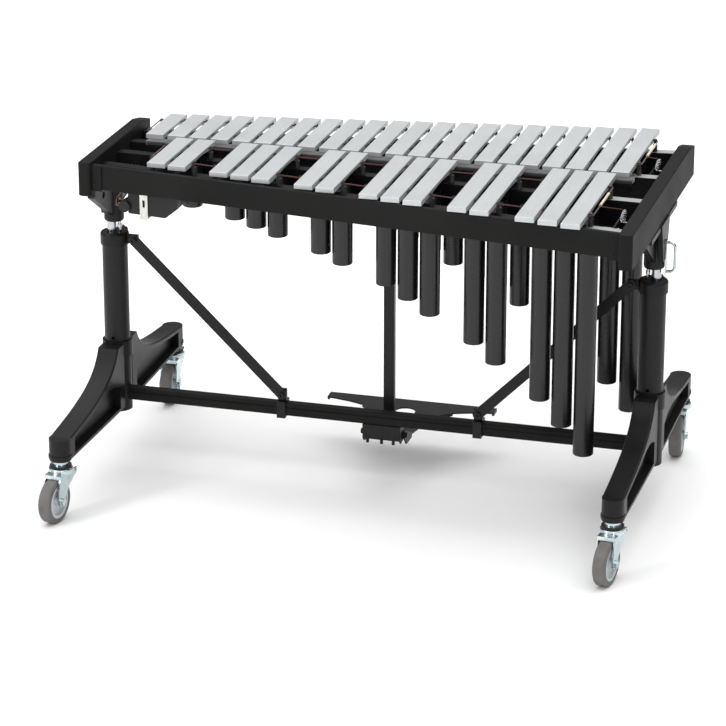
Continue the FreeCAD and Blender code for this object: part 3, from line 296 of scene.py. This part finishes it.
def cast_black():
    colour = (0.0090, 0.0089, 0.0088)
    shade = Shade("cast_black", colour, 0.38, Specular_IOR_Level=0.18)
    skin = shade.noise(420.0, 4.0)
    cloud = shade.noise(10.0, 4.0)
    shade.tint(cloud, scaled(colour, 0.85), scaled(colour, 1.3))
    shade.gloss(cloud, 0.34, 0.46)
    return shade.relief(skin, 0.30, 0.00022)


def frame_black():
    colour = (0.0105, 0.0104, 0.0101)
    shade = Shade("frame_black", colour, 0.36, Specular_IOR_Level=0.09)
    cloud = shade.noise(6.0, 4.0)
    shade.tint(cloud, scaled(colour, 0.85), scaled(colour, 1.3))
    shade.gloss(cloud, 0.54, 0.64)
    return shade.relief(shade.noise(1100.0, 2.0), 0.16, 0.00010)


def bracket_silver():
    shade = Shade("bracket_silver", (0.55, 0.54, 0.50), 0.32, metal=1.0)
    haze = shade.noise(50.0, 4.0, (1.0, 1.0, 0.2))
    shade.tint(haze, (0.44, 0.43, 0.39), (0.64, 0.63, 0.58))
    return shade.gloss(haze, 0.24, 0.40)


def belt_rubber():
    colour = (0.20, 0.070, 0.022)
    shade = Shade("belt_rubber", colour, 0.35, Subsurface_Weight=0.0)
    cloud = shade.noise(60.0)
    shade.tint(cloud, scaled(colour, 0.8), scaled(colour, 1.15))
    return shade.gloss(cloud, 0.3, 0.42)


def felt():
    colour = (0.030, 0.028, 0.028)
    shade = Shade("felt", colour, 0.95, Sheen_Weight=0.5, Sheen_Roughness=0.5)
    fibre = shade.noise(520.0, 6.0)
    shade.tint(fibre, scaled(colour, 0.6), scaled(colour, 1.9))
    return shade.relief(fibre, 0.9, 0.0008)


MAKERS = [bar_aluminium, black_paint, resonator_black, rail_aluminium, chrome, zinc_steel, black_steel,
          grey_rubber, hub_plastic, black_plastic, brown_cord, spring_steel, post_metal, cast_black,
          frame_black, bracket_silver, belt_rubber, felt, pale_sleeve]
MATERIALS = {maker.__name__: maker().material for maker in MAKERS}


LOOKS = {"damper_bar": "black_steel"}      # nodes that don't look like their slot


def dress_cad_nodes():
    """Every CAD node gets its slot's material, unless LOOKS names another."""
    for part in RECORD["subparts"]:
        node = NODES[part["node"]]
        if not node.material_slots:
            node.data.materials.append(None)
        for place in node.material_slots:
            place.material = MATERIALS[LOOKS.get(part["node"], part["material_slot"])]


# ---- pieces built here -------------------------------------------------------------------
def at(x, y, z):
    """Scene point of a design point given in millimetres."""
    return Vector(((x - MIDDLE[0]) * MM, (y - MIDDLE[1]) * MM, z * MM))


def piece_from(mesh_builder, name, body, slot, replaced=()):
    """Smooth mesh object that rides on a body, made by a function that fills a bmesh."""
    mesh = bpy.data.meshes.new(name)
    bm = bmesh.new()
    mesh_builder(bm)
    bmesh.ops.recalc_face_normals(bm, faces=bm.faces)
    bm.to_mesh(mesh)
    bm.free()
    for polygon in mesh.polygons:
        polygon.use_smooth = True
    piece = bpy.data.objects.new(name, mesh)
    bpy.context.scene.collection.objects.link(piece)
    mesh.materials.append(MATERIALS[slot])
    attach(piece, body)
    if replaced:
        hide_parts(*replaced)
    return piece


def bridge(bm, rings):
    """Quads between each ring of vertices and the next one."""
    count = len(rings[0])
    for first, second in zip(rings, rings[1:]):
        for step in range(count):
            nxt = (step + 1) % count
            bm.faces.new((first[step], first[nxt], second[nxt], second[step]))


def tube_along(bm, points, radius, sides=8):
    """Round tube through a list of points, its rings carried along without twist."""
    rings = []
    side_axis = None
    for place, point in enumerate(points):
        before = points[max(0, place - 1)]
        after = points[min(len(points) - 1, place + 1)]
        along = (after - before).normalized()
        if side_axis is None:
            side_axis = along.orthogonal().normalized()
        side_axis = (side_axis - along * side_axis.dot(along)).normalized()
        other = along.cross(side_axis)
        ring = []
        for step in range(sides):
            angle = 2 * math.pi * step / sides
            across, up = side_axis * radius * math.cos(angle), other * radius * math.sin(angle)
            ring.append(bm.verts.new(point + across + up))
        rings.append(ring)
    bridge(bm, rings)
    bm.faces.new(rings[0])
    bm.faces.new(rings[-1])


def coil_springs():
    """Open coils, each with a hook at its start that reaches the block's face, in place of their closed outer
    shapes.
    """
    def build(bm):
        for (x0, y0), (x1, y1) in SPRING_ENDS.values():
            start, end = at(x0, y0, SPRING_Z), at(x1, y1, SPRING_Z)
            along = (end - start).normalized()
            side = along.cross(Vector((0, 0, 1))).normalized()
            lift = side.cross(along)
            length = (end - start).length
            lead = COIL_LEAD * MM
            points = [start + along * (lead * step / 3) for step in range(4)]
            steps = int(COIL_TURNS * COIL_STEPS)
            for step in range(steps + 1):
                angle = 2 * math.pi * COIL_TURNS * step / steps
                grow = min(1.0, 6.0 * step / steps, 6.0 * (steps - step) / steps)
                spot = start + along * (lead + (length - 2 * lead) * step / steps)
                radius = COIL_R * MM * grow
                points.append(spot + lift * radius * math.cos(angle) + side * radius * math.sin(angle))
            points += [end - along * (lead * (2 - step) / 3) for step in range(3)]
            tube_along(bm, points, WIRE_R * MM)
            hook_x = (x0, (x0 + BLOCK_FACE_X) / 2, BLOCK_FACE_X)
            tube_along(bm, [at(x, y0 + HOOK_SHIFT, SPRING_Z) for x in hook_x], WIRE_R * MM)
    return piece_from(build, "coil_springs", "instrument_frame", "spring_steel", replaced=("cord_springs",))


def damper_felt_strip():
    """Felt strip with a crowned top, soft edges and slightly uneven faces."""
    def build(bm):
        x0, x1 = FELT_X
        y0, y1 = FELT_Y
        z0, z1 = FELT_Z
        half, mid = (y1 - y0) / 2, (y0 + y1) / 2
        outline = []
        for corner_y, corner_z, first in ((half, z1, 0), (-half, z1, 90), (-half, z0, 180), (half, z0, 270)):
            for step in range(4):
                angle = math.radians(first + 30 * step)
                inner_y = corner_y - math.copysign(FELT_EDGE, corner_y)
                inner_z = corner_z - (FELT_EDGE if corner_z == z1 else -FELT_UNDER)
                reach = FELT_EDGE if corner_z == z1 else FELT_UNDER
                outline.append((inner_y + reach * math.cos(angle), inner_z + reach * math.sin(angle)))
        rings = []
        for step in range(FELT_STEPS + 1):
            x = x0 + (x1 - x0) * step / FELT_STEPS
            squeeze = 0.90 if step in (0, FELT_STEPS) else 1.0
            ring = []
            for y, z in outline:
                wave = noise.noise(Vector((x * 0.05, y * 0.2, z * 0.3)))
                crown = 0.5 * (1 - (y / half) ** 2) if z > z1 - 1.0 else 0.0
                height = min(z1, z + 0.25 * wave - 0.45 + crown) if z > z0 + 1.0 else z
                ring.append(bm.verts.new(at(x, mid + (y + 0.2 * wave) * squeeze * 0.99, height)))
            rings.append(ring)
        bridge(bm, rings)
        bm.faces.new(rings[0])
        bm.faces.new(list(reversed(rings[-1])))
    strip = piece_from(build, "damper_felt_strip", "damper", "felt", replaced=("damper_felt",))
    return strip


def round_screw(bm, centre, normal, radius, height):
    """Domed screw head: a turned profile with a round recess in the middle."""
    normal = normal.normalized()
    side = normal.orthogonal().normalized()
    other = normal.cross(side)
    rings = []
    for reach, rise in SCREW_PROFILE:
        ring = []
        for step in range(SCREW_SIDES):
            angle = 2 * math.pi * step / SCREW_SIDES
            spot = side * math.cos(angle) + other * math.sin(angle)
            ring.append(bm.verts.new(centre + spot * radius * reach + normal * height * rise))
        rings.append(ring)
    bridge(bm, rings)
    bm.faces.new(list(reversed(rings[0])))
    bm.faces.new(rings[-1])


def frame_screws():
    """Screws in the fascia's corner plates and in the front of the motor's housing."""
    def build(bm):
        left, right = FASCIA_LINE
        slope = (right[1] - left[1]) / (right[0] - left[0])
        normal = Vector((slope, -1.0, 0.0))
        for x in PLATE_SCREW_X:
            for z in PLATE_SCREW_Z:
                y = left[1] + slope * (x - left[0]) - 3.0
                round_screw(bm, at(x, y, z), normal, SCREW_R * MM, 1.4 * MM)
        for x in MOTOR_SCREW_X:
            round_screw(bm, at(x, *MOTOR_SCREW_AT), Vector((0, -1, 0)), SCREW_R * MM, 1.6 * MM)
    return piece_from(build, "frame_screws", "instrument_frame", "black_steel")


def race_seals():
    """Dark dust seals between each swivel fork and its stem."""
    pieces = []
    for joint in frame["joints"]:
        if not joint["name"].endswith("_swivel_turn"):
            continue
        centre = Vector(joint["pos_m"])

        def build(bm, centre=centre):
            rings = []
            for radius, height in SEAL_PROFILE:
                ring = []
                for step in range(SEAL_SIDES):
                    angle = 2 * math.pi * step / SEAL_SIDES
                    x = centre.x + radius * MM * math.cos(angle)
                    y = centre.y + radius * MM * math.sin(angle)
                    ring.append(bm.verts.new((x, y, height * MM)))
                rings.append(ring)
            bridge(bm, rings + rings[:1])
        name = joint["child"].replace("_swivel", "_race_seal")
        pieces.append(piece_from(build, name, joint["child"], "black_plastic"))
    return pieces


# ---- floor, light, camera ----------------------------------------------------------------
def floor():
    mesh = bpy.data.meshes.new("floor")
    corners = [(-FLOOR_HALF, -FLOOR_HALF, 0), (FLOOR_HALF, -FLOOR_HALF, 0),
               (FLOOR_HALF, FLOOR_HALF, 0), (-FLOOR_HALF, FLOOR_HALF, 0)]
    mesh.from_pydata(corners, [], [(0, 1, 2, 3)])
    plane = bpy.data.objects.new("floor", mesh)
    bpy.context.scene.collection.objects.link(plane)
    shade = Shade("pale_floor", (0.93, 0.93, 0.93), 0.75)
    shade.tint(shade.noise(2.0, 2.0), (0.92, 0.92, 0.92), (0.94, 0.94, 0.94))
    mesh.materials.append(shade.material)


def area_light(name, place, size, power):
    data = bpy.data.lights.new(name, "AREA")
    data.shape = "RECTANGLE"
    data.size, data.size_y = size
    data.energy = power
    light = bpy.data.objects.new(name, data)
    light.location = place
    light.rotation_euler = (Vector(LIGHT_AIM) - Vector(place)).to_track_quat("-Z", "Y").to_euler()
    bpy.context.scene.collection.objects.link(light)


def studio():
    """Sky that is bright overhead and dark lower down, and the three soft lights."""
    world = bpy.data.worlds.new("studio_air")
    world.use_nodes = True
    nodes, links = world.node_tree.nodes, world.node_tree.links
    direction = nodes.new("ShaderNodeTexCoord")
    split = nodes.new("ShaderNodeSeparateXYZ")
    ramp = nodes.new("ShaderNodeValToRGB")
    links.new(direction.outputs["Generated"], split.inputs["Vector"])
    links.new(split.outputs["Z"], ramp.inputs["Fac"])
    low, high = ramp.color_ramp.elements
    low.position, low.color = 0.45, (0.05, 0.05, 0.05, 1.0)
    high.position, high.color = 0.90, (1.0, 1.0, 1.0, 1.0)
    sky = nodes["Background"]
    links.new(ramp.outputs["Color"], sky.inputs["Color"])
    sky.inputs["Strength"].default_value = SKY_POWER
    bpy.context.scene.world = world
    bpy.context.scene.view_settings.view_transform = "Standard"
    for settings in LIGHTS:
        area_light(*settings)


def camera():
    data = bpy.data.cameras.new("view_camera")
    data.sensor_width = SENSOR
    data.lens = CAMERA_LENS
    data.clip_start, data.clip_end = 0.1, 100.0
    eye = bpy.data.objects.new("view_camera", data)
    eye.location = CAMERA_AT
    eye.rotation_euler = (math.pi / 2 - CAMERA_PITCH, 0.0, CAMERA_YAW)
    bpy.context.scene.collection.objects.link(eye)
    bpy.context.scene.camera = eye


dress_cad_nodes()
coil_springs()
damper_felt_strip()
frame_screws()
race_seals()
floor()
studio()
camera()
